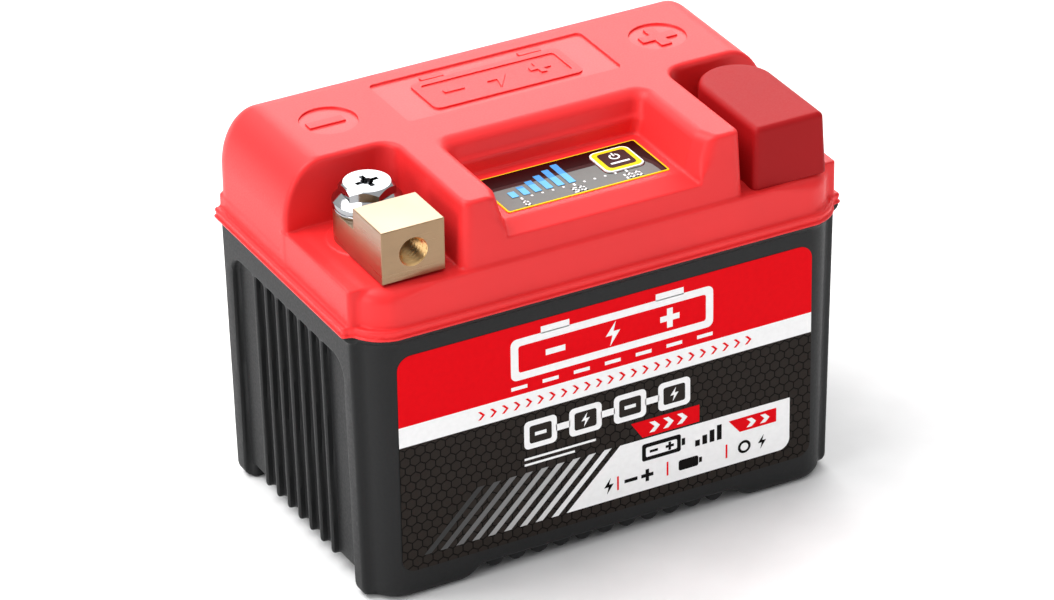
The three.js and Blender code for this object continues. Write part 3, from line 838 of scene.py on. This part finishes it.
def make_cap():
    """The cap, meshed on an even grid over its box."""
    grid = 0.35
    axes = [graded((low - 1, grid), (high + 1, 0)) for low, high in zip(CAP_LOW, CAP_HIGH)]
    cap = new_object("cap_shell", *surface_net(cap_shape, *axes), M_CAP)
    sharpen(cap, 38)
    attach(cap, "cap")
    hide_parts("terminal_cap")


make_cap()


# ---- terminals ----
SHELF_TOP = WASHER_LOW[2]
HOLE_Z = (BLOCK_LOW[2] + BLOCK_HIGH[2]) / 2
HOLE_DEPTH = 8.9
BLOCK_BACK = -18.6
BOLT_HOLE_RADIUS = 3.2
THREAD_MINOR = 2.4
THREAD_MAJOR = 3.0
THREAD_PITCH = 1.0
HEX_FLATS = 10.0
FLANGE_RADIUS = 7.1
RECESS_DEPTH = 1.5
ROUND_STEPS = 96


def thread(name, length, material, mouth=0.0, tip=0.0):
    """A helical thread standing on the origin along +Z. mouth widens its foot, and tip narrows its end.
    crest is 1 on the thread's ridge and 0 in its root."""
    turn_steps, rise = 40, THREAD_PITCH / 12
    rings = round(length / rise)
    points = []
    for ring in range(rings + 1):
        z = length * ring / rings
        for step in range(turn_steps):
            angle = 2 * math.pi * step / turn_steps
            phase = (z / THREAD_PITCH - step / turn_steps) % 1.0
            crest = min(1.0, max(0.0, 1.1 - 2.3 * abs(phase - 0.5)))
            radius = THREAD_MINOR + (THREAD_MAJOR - THREAD_MINOR) * crest
            radius = max(radius, THREAD_MAJOR + mouth - z) if mouth else radius
            radius = min(radius, THREAD_MINOR + (length - z)) - tip * max(0.0, 1 - (length - z))
            points.append((radius * math.cos(angle), radius * math.sin(angle), z))
    return stacked(name, points, turn_steps, material)


def move_points(piece, matrix, x, y, z):
    """Turns and moves a piece's own points, so its object stays at the origin."""
    piece.data.transform(Matrix.Translation(Vector((x, y, z)) * MM) @ matrix)


def make_block(side, x):
    """The brass block with its threaded hole, and the round-ended shelf under the bolt."""
    half = (BLOCK_HIGH[0] - BLOCK_LOW[0]) / 2
    middle_y = (BLOCK_LOW[1] + BLOCK_BACK) / 2
    outline = bar(x, middle_y, 2 * half, BLOCK_BACK - BLOCK_LOW[1])
    block = slab(side + "_terminal_block", outline, SEAT, BLOCK_HIGH[2], M_BRASS)
    bevel(block, 0.16)
    tongue = [(x - half, BLOCK_BACK - 1), (x + half, BLOCK_BACK - 1)] + arc(x, BOLT_Y, half, 0, 180, 40)
    shelf = slab("shelf", tongue, SEAT, SHELF_TOP, M_BRASS)
    bevel(shelf, 0.14, 50)
    carve(block, [shelf], "UNION")
    drill = slab("drill", disc(x, BOLT_Y, BOLT_HOLE_RADIUS), SEAT - 1, SHELF_TOP + 1, M_BRASS)
    # The tap's lighter brass passes to the hole's walls, painting a highlight on the thread.
    tap = thread("tap", HOLE_DEPTH + 0.2, M_BRASS_THREAD_LIGHTENED, mouth=0.3)
    move_points(tap, Matrix.Rotation(math.radians(-90), 4, "X"), x, BLOCK_LOW[1] - 0.2, HOLE_Z)
    carve(block, [drill, tap])
    sharpen(block, 14)
    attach(block, "housing")
    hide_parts(side + "_terminal")


def make_washer(side, x, body):
    """The plain washer under the bolt's flange."""
    low, high = SHELF_TOP, WASHER_HIGH[2]
    inner, outer, soft = BOLT_HOLE_RADIUS, 7.0, 0.25
    foot_side = [
        (inner, low + 0.1), (inner + 0.1, low),
        (outer - soft, low), (outer - 0.07, low + 0.07), (outer, low + soft),
    ]
    top_side = [(radius, low + high - z) for radius, z in reversed(foot_side)]
    washer = lathe(side + "_washer_ring", foot_side + top_side, x, BOLT_Y, ROUND_STEPS, M_CHROME)
    sharpen(washer, 50)
    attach(washer, body)
    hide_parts(side + "_washer")


def hexagon(x, y, radius, first):
    """The outline of a hexagon, with its first corner at that angle."""
    return arc(x, y, radius, first, first + 300, 5)


def make_bolt(side, x, body):
    """An M6 flange bolt: a chamfered hexagon with a cross recess, a conical flange and a real thread."""
    low, high = span(side + "_bolt")
    top = high[2]
    foot = WASHER_HIGH[2]
    head = slab("head", hexagon(x, BOLT_Y, HEX_FLATS / math.sqrt(3), 27), foot + 1, top, M_CHROME)
    cone = lathe("cone", [
        (0, foot), (6.6, foot), (6.6, top - 1.6), (4.9, top - 0.12), (4.75, top), (0, top),
    ], x, BOLT_Y, ROUND_STEPS, M_CHROME)
    carve(head, [cone], "INTERSECT")
    edge = FLANGE_RADIUS
    flange = lathe("flange", [
        (0, foot), (edge - 0.3, foot), (edge - 0.05, foot + 0.1), (edge, foot + 0.35), (edge, foot + 0.8),
        (edge - 0.08, foot + 1.05), (edge - 0.35, foot + 1.3),
        (5.8, foot + 2.1), (5.1, foot + 2.5), (0, foot + 2.5),
    ], x, BOLT_Y, ROUND_STEPS, M_CHROME)
    shank = thread("shank", foot - low[2] + 0.3, M_CHROME, tip=0.4)
    move_points(shank, Matrix.Rotation(math.radians(180), 4, "X"), x, BOLT_Y, foot + 0.3)
    carve(head, [flange, shank], "UNION")
    outline = shift(plus_sign(0, 0, 4.4, 0.95), x, BOLT_Y, 1, 4)
    cross = slab("cross", outline, top - RECESS_DEPTH, top + 0.3, M_CHROME, inset=-0.35)
    dimple = lathe("dimple", [
        (0, top - 2.2), (0.6, top - 2.0), (1.5, top + 0.3), (0, top + 0.3),
    ], x, BOLT_Y, 8, M_CHROME)
    carve(head, [cross, dimple])
    head.name = side + "_bolt_body"
    sharpen(head, 22)
    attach(head, body)
    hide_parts(side + "_bolt")


for side, x, washer_body, bolt_body in (
    ("negative", NEGATIVE_X, "captive_washer", "terminal_bolt"),
    ("positive", POSITIVE_X, "housing", "housing"),
):
    make_block(side, x)
    make_washer(side, x, washer_body)
    make_bolt(side, x, bolt_body)


# ---- front label ----
RED_FOOT_Z = 39.9
STRIPE_FOOT_Z = 35.3
CELL_ROW = 1.95
CELL_COLUMN = 2.25
CELL_RADIUS = 1.13
EMBLEM_X = 1.0
EMBLEM_Z = 47.9
LINK_ROW_Z = 30.0
LINK_PITCH = 10.2
BATTERY_ROW_Z = 18.2
SIGN_ROW_Z = 12.8
DATA_FOOT_Z = 9.4
HATCH_PITCH = 3.6


def clip(outline, boundary):
    """The part of an outline inside a convex boundary. Both run anticlockwise."""
    for (ax, ay), (bx, by) in zip(boundary, boundary[1:] + boundary[:1]):
        kept = []
        for (px, py), (qx, qy) in zip(outline, outline[1:] + outline[:1]):
            p_side = (bx - ax) * (py - ay) - (by - ay) * (px - ax)
            q_side = (bx - ax) * (qy - ay) - (by - ay) * (qx - ax)
            if p_side >= 0:
                kept.append((px, py))
            if (p_side > 0 > q_side) or (p_side < 0 < q_side):
                share = p_side / (p_side - q_side)
                kept.append((px + share * (qx - px), py + share * (qy - py)))
        outline = kept
        if len(outline) < 3:
            return []
    return outline


def ink(outline, layer, material):
    """A printed area on the front wall, each layer standing a hair proud of the one below."""
    wall = LABEL_HIGH[1]
    return slab("ink", outline, wall + 0.02, wall - 0.08 - 0.03 * layer, material, axis="Y")


def chevron(x, z, size, thick):
    """An arrowhead pointing right, as two leaning bars."""
    half = size / 2
    return [
        [(x, z - half), (x + thick, z - half), (x + half + thick, z), (x + half, z)],
        [(x + half, z), (x + half + thick, z), (x + thick, z + half), (x, z + half)],
    ]


def label_grounds(edge):
    """The red band, the white stripe and the dark ground of hexagonal cells."""
    left, right = LABEL_LOW[0], LABEL_HIGH[0]
    foot, top = LABEL_LOW[2], LABEL_HIGH[2]
    areas = []
    for low, high, material in (
        (RED_FOOT_Z, top, INK_RED), (STRIPE_FOOT_Z, RED_FOOT_Z, INK_WHITE), (foot, STRIPE_FOOT_Z, INK_LINE),
    ):
        zone = clip([(left, low), (right, low), (right, high), (left, high)], edge)
        areas.append((zone, 0, material))
    for row in range(math.ceil((STRIPE_FOOT_Z - foot) / CELL_ROW) + 1):
        z = foot + row * CELL_ROW
        start = left + (CELL_COLUMN / 2 if row % 2 else 0)
        for column in range(math.ceil((right - left) / CELL_COLUMN) + 1):
            cell = clip(hexagon(start + column * CELL_COLUMN, z, CELL_RADIUS, 30), zone)
            if cell:
                areas.append((cell, 1, INK_DARK))
    return areas


def label_emblem():
    """The large battery emblem on the red band, with a row of dashes under it."""
    x, z, width, height = EMBLEM_X, EMBLEM_Z, 46.0, 9.4
    areas = [
        (rounded(x, z, width, height, 1.4), 1, INK_WHITE),
        (rounded(x, z, width - 3.4, height - 3.4, 0.6), 2, INK_RED),
        (bar(x - 13, z + 5.3, 6.4, 1.6), 1, INK_WHITE),
        (bar(x + 13, z + 5.3, 6.4, 1.6), 1, INK_WHITE),
        (bar(x - 13, z, 4.4, 1.3), 3, INK_WHITE),
        (plus_sign(x + 13, z, 4.4, 1.3), 3, INK_WHITE),
        (spark(x, z, 5.4), 3, INK_WHITE),
    ]
    for step in range(7):
        areas.append((bar(x - 21.2 + step * 7.05, 41.5, 3.6, 0.8), 1, INK_WHITE))
    return areas


def label_stripe():
    """A row of small chevrons along the white stripe."""
    return [
        (half, 1, INK_RED)
        for step in range(24)
        for half in chevron(-29.5 + step * 2.65, (RED_FOOT_Z + STRIPE_FOOT_Z) / 2, 1.9, 0.6)
    ]


def label_links():
    """Four linked cells in white, two rules under them and a slanted tag of chevrons."""
    z = LINK_ROW_Z
    areas = []
    for cell in range(4):
        x = -15.6 + cell * LINK_PITCH
        areas.append((rounded(x, z, 7.4, 6.4, 1.1), 2, INK_WHITE))
        areas.append((rounded(x, z, 5.0, 4.0, 0.5), 3, INK_DARK))
        areas.append((spark(x, z, 3.1) if cell % 2 else bar(x, z, 2.6, 0.8), 4, INK_WHITE))
        if cell < 3:
            areas.append((bar(x + LINK_PITCH / 2, z, 3.2, 1.5), 2, INK_WHITE))
    areas.append((bar(-11.2, 24.6, 16.2, 0.5), 2, INK_WHITE))
    areas.append((bar(-13.6, 23.3, 11.4, 0.5), 2, INK_WHITE))
    return areas + slanted_tag(7.6, 21.9, 13.2, 3.9, 3)


def slanted_tag(x, z, width, height, count):
    """A red tag with a slanted left end and a few white chevrons."""
    outline = [(x, z), (x + width, z), (x + width, z + height), (x - 2.6, z + height)]
    areas = [(outline, 4, INK_RED)]
    for step in range(count):
        for half in chevron(x + 1.6 + step * 3.2, z + height / 2, height * 0.62, 1.2):
            areas.append((half, 5, INK_WHITE))
    return areas


def label_data():
    """The white box at the foot, with plain signs where ratings would be."""
    box = [(-9.9, DATA_FOOT_Z), *arc(39.6, DATA_FOOT_Z + 2.5, 2.5, 270, 360, 6), (42.1, 21.3), (2.5, 21.5)]
    top, low = BATTERY_ROW_Z, SIGN_ROW_Z
    signs = [
        rounded(12.0, top, 9.0, 4.0, 0.5), bar(17.1, top, 0.8, 1.6),
        spark(-0.2, low, 3.6), bar(4.9, low, 3.0, 0.8), plus_sign(8.7, low, 2.8, 0.8),
        rounded(18.3, low, 4.6, 2.4, 0.5), bar(21.1, low, 0.7, 1.2),
        disc(31.4, low, 1.5, 32), spark(35.6, low, 3.2),
    ]
    for step in range(4):
        signs.append(bar(20.4 + step * 1.7, 16.9 + step * 0.35, 1.1, 1.4 + step * 0.7))
    areas = [
        (box, 2, INK_WHITE),
        (rounded(12.0, top, 7.2, 2.2, 0.3), 4, INK_WHITE),
        (disc(31.4, low, 0.9, 32), 4, INK_WHITE),
        (bar(10.2, top, 1.9, 0.6), 5, INK_LINE),
        (plus_sign(13.9, top, 1.9, 0.6), 5, INK_LINE),
    ]
    areas += [(outline, 3, INK_LINE) for outline in signs]
    for x in (1.9, 13.4, 27.2):
        areas.append((bar(x, low + 0.1, 0.4, 3.2), 3, INK_RED))
    return areas + slanted_tag(30.3, 16.6, 8.6, 3.2, 2)


def label_hatch():
    """Leaning bars beside the white box, which fade to the left."""
    areas = []
    for step, colour in enumerate(reversed(HATCH_INKS)):
        x, foot, top = -13.4 - HATCH_PITCH * step, DATA_FOOT_Z, DATA_FOOT_Z + 12.1
        areas.append(([(x, foot), (x + 1.6, foot), (x + 13.9, top), (x + 12.3, top)], 2, colour))
    return areas


def make_label():
    """The label, as thin printed layers on the front wall."""
    width, height = LABEL_HIGH[0] - LABEL_LOW[0], LABEL_HIGH[2] - LABEL_LOW[2]
    edge = rounded(0, (LABEL_LOW[2] + LABEL_HIGH[2]) / 2, width, height, 3.0, 8)
    areas = label_grounds(edge) + label_emblem() + label_stripe()
    areas += label_links() + label_data() + label_hatch()
    label = merge("label_art", [ink(*area) for area in areas])
    label.data.shade_flat()
    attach(label, "housing")
    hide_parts("front_label")


make_label()


# ---- charge gauge ----
BAR_WIDTH = 1.5
TICK_FIRST_X = -13.2
TICK_PITCH = 2.35
TICK_TOP_Y = -22.3
DIGIT_Y = -24.8
DIGIT_HEIGHT = 1.7
DIGIT_PITCH = 1.6
UMBER_FOOT_Y = -17.5
# The painted red reflection on the overlay's dark ground starts here.
RED_REFLECTION_FOOT_Y = -16.3
KEY_SIZE = 8.8
KEY_CORNER = 1.6
KEY_SKIN = 0.45


def film(outline, layer, material, ground=GAUGE_FLOOR):
    """A printed area of the gauge's overlay, each layer a hair above the one below."""
    return slab("film", outline, ground, ground + 0.17 + 0.03 * layer, material)


def seven_segments(x, y, digit):
    """The bars of a seven-segment numeral. Each place is a side, a rise and whether the bar lies flat."""
    wide, thick, half = DIGIT_HEIGHT * 0.5, DIGIT_HEIGHT * 0.2, DIGIT_HEIGHT / 4
    places = {
        "a": (0, 2 * half, 1), "b": (1, half, 0), "c": (1, -half, 0), "d": (0, -2 * half, 1),
        "e": (-1, -half, 0), "f": (-1, half, 0), "g": (0, 0, 1),
    }
    bars = []
    for name in {"0": "abcdef", "1": "bc", "5": "afgcd"}[digit]:
        side, rise, flat = places[name]
        size = (wide + thick, thick) if flat else (thick, 2 * half + thick)
        bars.append(bar(x + side * wide / 2, y + rise, *size))
    return bars


def gauge_scale():
    """A tick scale from 0 to 100 along the front of the overlay."""
    outlines = []
    for step in range(11):
        tall = 0.85 if step % 5 == 0 else 0.5
        outlines.append(bar(TICK_FIRST_X + step * TICK_PITCH, TICK_TOP_Y - tall / 2, 0.42, tall))
    for step, digits in ((0, "0"), (5, "50"), (10, "100")):
        x = TICK_FIRST_X + step * TICK_PITCH
        for place, digit in enumerate(digits):
            offset = (place - (len(digits) - 1) / 2) * DIGIT_PITCH
            outlines.extend(seven_segments(x + offset, DIGIT_Y, digit))
    return [film(outline, 4, INK_WHITE) for outline in outlines]


def gauge_bars():
    """Six rising bars, a paler blue at the foot than at the top."""
    pieces = []
    for index in range(BAR_COUNT):
        pale = FIRST_BAR_LENGTH + 0.35 * index
        pieces.append(film(gauge_bar(index, BAR_WIDTH), 4, INK_BLUE))
        pieces.append(film(gauge_bar(index, BAR_WIDTH, pale), 5, INK_SKY))
    return pieces


def make_overlay():
    """The printed film: a thin border, a grey ground, two dark ones behind and beside it, bars and scale.
    The one behind is tinted red, a painted reflection of the recess's red walls.
    """
    middle = (OVERLAY_LOW[1] + OVERLAY_HIGH[1]) / 2
    width, height = OVERLAY_HIGH[0] - OVERLAY_LOW[0], OVERLAY_HIGH[1] - OVERLAY_LOW[1]
    edge = rounded(0, middle, width, height, 0.5)
    inner = rounded(0, middle, width - 0.8, height - 0.8, 0.3)
    around = [(19, -28), (19, -10), (-19, -10)]
    umber = [
        (-19, UMBER_FOOT_Y), (11.6, UMBER_FOOT_Y), (13.6, -18.3),
        (15.2, -20.0), (16.2, -22.6), (16.6, -28),
    ]
    # Behind and to the right: the dark ground with the red walls' reflection painted on it as a tint.
    dark_ground_red_reflection = [
        (-19, RED_REFLECTION_FOOT_Y), (12.2, RED_REFLECTION_FOOT_Y), (14.5, -17.3),
        (16.2, -19.2), (17.2, -22.2), (17.6, -28),
    ]
    opening = rounded(BUTTON_X, BUTTON_Y, 9.2, 9.2, 1.7)
    grounds = [
        film(edge, 0, INK_YELLOW), film(inner, 1, INK_GREY),
        film(clip(dark_ground_red_reflection + around, inner), 3, INK_DARK_GROUND_RED_REFLECTION), film(clip(umber + around, inner), 2, INK_UMBER),
    ]
    for ground in grounds:
        hole = slab("hole", opening, GAUGE_FLOOR - 1, GAUGE_FLOOR + 2, INK_GREY)
        carve(ground, [hole])
    overlay = merge("gauge_overlay_art", grounds + gauge_bars() + gauge_scale())
    overlay.data.shade_flat()
    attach(overlay, "housing")
    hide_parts("gauge_overlay")


def make_button():
    """The printed test key: a white line, a yellow ring, and a dark middle with a ring sign and a bar."""
    x, y, low = BUTTON_X, BUTTON_Y, BUTTON_HIGH[2] - KEY_SKIN
    outline = rounded(x, y, KEY_SIZE, KEY_SIZE, KEY_CORNER)
    areas = [
        (outline, 4, INK_WHITE),
        (rounded(x, y, 8.1, 8.1, 1.3), 6, INK_YELLOW),
        (rounded(x, y, 6.2, 6.2, 0.9), 8, INK_UMBER),
        (disc(x, y + 0.9, 1.15, 32), 9, INK_WHITE),
        (disc(x, y + 0.9, 0.75, 32), 10, INK_UMBER),
        (bar(x, y + 2.0, 0.9, 0.7), 10, INK_UMBER),
        (bar(x, y + 1.7, 0.34, 1.3), 11, INK_WHITE),
        (bar(x, y - 1.6, 4.2, 0.6), 9, INK_WHITE),
    ]
    prints = [film(*area, low - 0.02) for area in areas]
    key = slab("key", outline, GAUGE_FLOOR + 0.42, low + 0.2, INK_WHITE)
    stem = lathe("stem", [
        (0, BUTTON_LOW[2]), (1.4, BUTTON_LOW[2]), (1.5, BUTTON_LOW[2] + 0.1), (1.5, low), (0, low),
    ], x, y, 24, INK_WHITE)
    button = merge("test_key", prints + [key, stem])
    button.data.shade_flat()
    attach(button, "button")
    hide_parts("test_button")


make_overlay()
make_button()


# ---- CAD nodes that keep their shape ----
for subpart in frame["record"]["subparts"]:
    data = frame["nodes"][subpart["node"]].data
    data.materials.clear()
    data.materials.append(FINISHES[subpart["material_slot"]])


# ---- camera, light and floor ----
AZIMUTH = math.radians(-27.9)
ELEVATION = math.radians(29.24)
ROLL = math.radians(-0.93)
DISTANCE = 1.132
AIM = Vector((0.0082, 0.0163, 0.0293))
LENS_MM = 186.0
LIGHT_TARGET = Vector((0, 0, 0.045))
FLOOR_SIZE = 6000

back = Vector((
    math.sin(AZIMUTH) * math.cos(ELEVATION),
    -math.cos(AZIMUTH) * math.cos(ELEVATION),
    math.sin(ELEVATION),
))
turn = back.to_track_quat("Z", "Y").to_matrix() @ Matrix.Rotation(ROLL, 3, "Z")
camera_data = bpy.data.cameras.new("camera")
camera_data.lens = LENS_MM
camera_data.sensor_width = 36.0
camera_data.clip_end = 20.0
camera = bpy.data.objects.new("camera", camera_data)
camera.matrix_world = Matrix.Translation(AIM + back * DISTANCE) @ turn.to_4x4()
bpy.context.scene.collection.objects.link(camera)
bpy.context.scene.camera = camera


def area_light(name, location, size, power):
    """A rectangular lamp that faces the middle of the battery."""
    data = bpy.data.lights.new(name, "AREA")
    data.shape = "RECTANGLE"
    data.size, data.size_y = size
    data.energy = power
    light = bpy.data.objects.new(name, data)
    light.location = location
    aim = Vector(location) - LIGHT_TARGET
    light.rotation_euler = aim.to_track_quat("Z", "Y").to_euler()
    bpy.context.scene.collection.objects.link(light)


area_light("key", (-0.5, 0.35, 1.05), (0.8, 0.8), 13.0)
area_light("sheen", (0.62, 1.15, 0.8), (1.3, 0.8), 13.0)
area_light("left_fill", (-1.1, -0.25, 0.35), (0.5, 0.5), 4.9)
area_light("front_fill", (0.5, -1.2, 0.16), (0.7, 0.22), 2.4)


def studio_world():
    """White for the camera. Every other ray meets a dome that darkens towards the horizon and the front."""
    world = bpy.data.worlds.new("studio")
    world.use_nodes = True
    tree = world.node_tree
    rays = tree.nodes.new("ShaderNodeLightPath")
    place = tree.nodes.new("ShaderNodeTexCoord")
    facing = tree.nodes.new("ShaderNodeVectorMath")
    facing.operation = "DOT_PRODUCT"
    fill(tree, facing, {0: place.outputs["Generated"], 1: (0.1, 0.4, 0.9)})
    dome = tree.nodes.new("ShaderNodeValToRGB")
    fill(tree, dome, {"Fac": facing.outputs["Value"]})
    dome.color_ramp.elements.new(0.28).color = (0.5, 0.5, 0.51, 1)
    foot, top = dome.color_ramp.elements[0], dome.color_ramp.elements[-1]
    foot.color = (0.06, 0.06, 0.065, 1)
    top.position = 0.75
    mix = tree.nodes.new("ShaderNodeMix")
    mix.data_type = "RGBA"
    fill(tree, mix, {"Factor": rays.outputs["Is Camera Ray"], "A": dome.outputs["Color"], "B": (1, 1, 1, 1)})
    fill(tree, tree.nodes["Background"], {"Color": mix.outputs["Result"]})
    return world


bpy.context.scene.world = studio_world()
bpy.context.scene.view_settings.view_transform = "Standard"

corners = [(x, y, 0) for x, y in bar(0, 0, FLOOR_SIZE, FLOOR_SIZE)]
floor_material = moulded("floor_pale", (0.88, 0.88, 0.88), 0.8, grain=60.0, height=0.02)
floor = new_object("floor", corners, [(0, 1, 2, 3)], floor_material)
